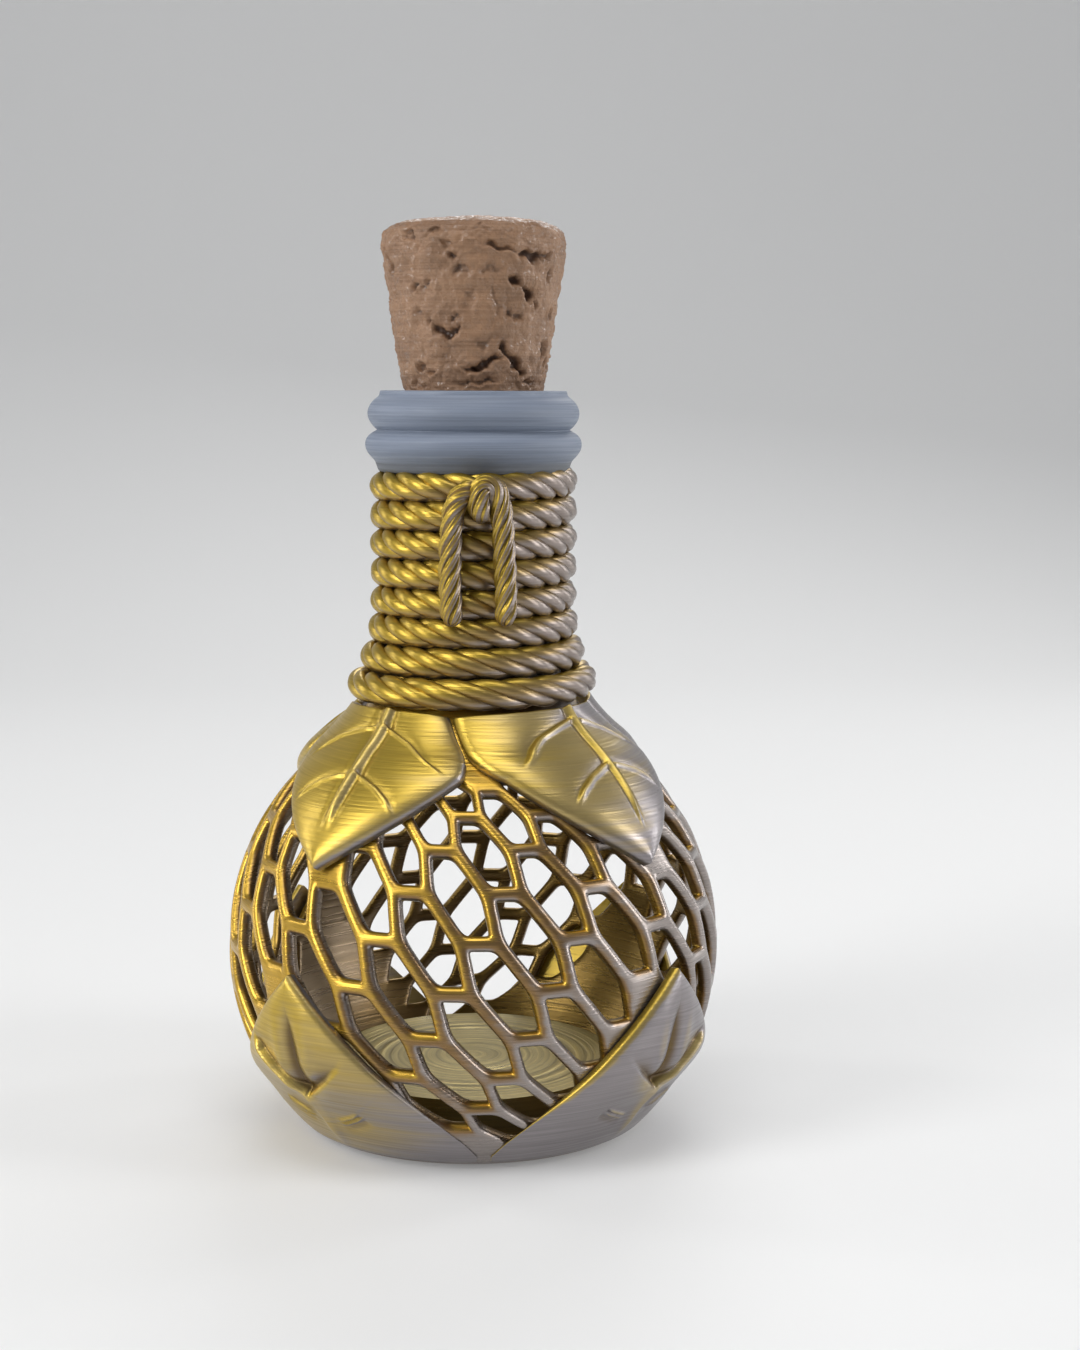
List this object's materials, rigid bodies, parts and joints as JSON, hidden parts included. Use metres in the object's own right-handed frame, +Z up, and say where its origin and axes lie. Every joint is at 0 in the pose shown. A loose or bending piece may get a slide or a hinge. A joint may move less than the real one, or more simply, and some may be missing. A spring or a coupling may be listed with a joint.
{
  "type": "potion bottle",
  "caption": "Round pierced honeycomb bottle with leaf skins, a rope-wound neck, a beaded lip and a lift-out tapered cork.",
  "frame": {"origin": "centre of the foot's flat face, on the surface the bottle stands on", "axes": "+Z up along the bottle's axis, -Y towards the front with the rope's tie, +X to the right seen from the front"},
  "size_m": [0.08, 0.08, 0.1457],
  "materials": {
    "silk_shell": "silk two-tone gold and grey, fine level layer lines",
    "silk_leaf": "silk two-tone gold and grey, fine level layer lines",
    "silk_rope": "silk two-tone gold and bronze, twisted strands",
    "collar_grey": "matte slate grey, fine level layer lines",
    "cork_brown": "matte cork brown, pitted and gouged"
  },
  "bodies": {
    "bottle": {"globe_cage": "silk_shell", "foot_dish": "silk_shell", "floor_plinth": "silk_shell", "neck_shoulder": "silk_shell", "lip_collar": "collar_grey", "upper_leaf_front_left": "silk_leaf", "upper_leaf_front_right": "silk_leaf", "upper_leaf_rear_right": "silk_leaf", "upper_leaf_rear_left": "silk_leaf", "lower_leaf_front_left": "silk_leaf", "lower_leaf_front_right": "silk_leaf", "lower_leaf_rear_right": "silk_leaf", "lower_leaf_rear_left": "silk_leaf", "neck_rope": "silk_rope", "rope_tie_left": "silk_rope", "rope_tie_right": "silk_rope"},
    "cork": {"cork_stopper": "cork_brown"}
  },
  "joints": [
    {"name": "cork_lift", "type": "slide", "parent": "bottle", "child": "cork", "axis": [0, 0, 1], "range_m": [0, 0.025]}
  ]
}
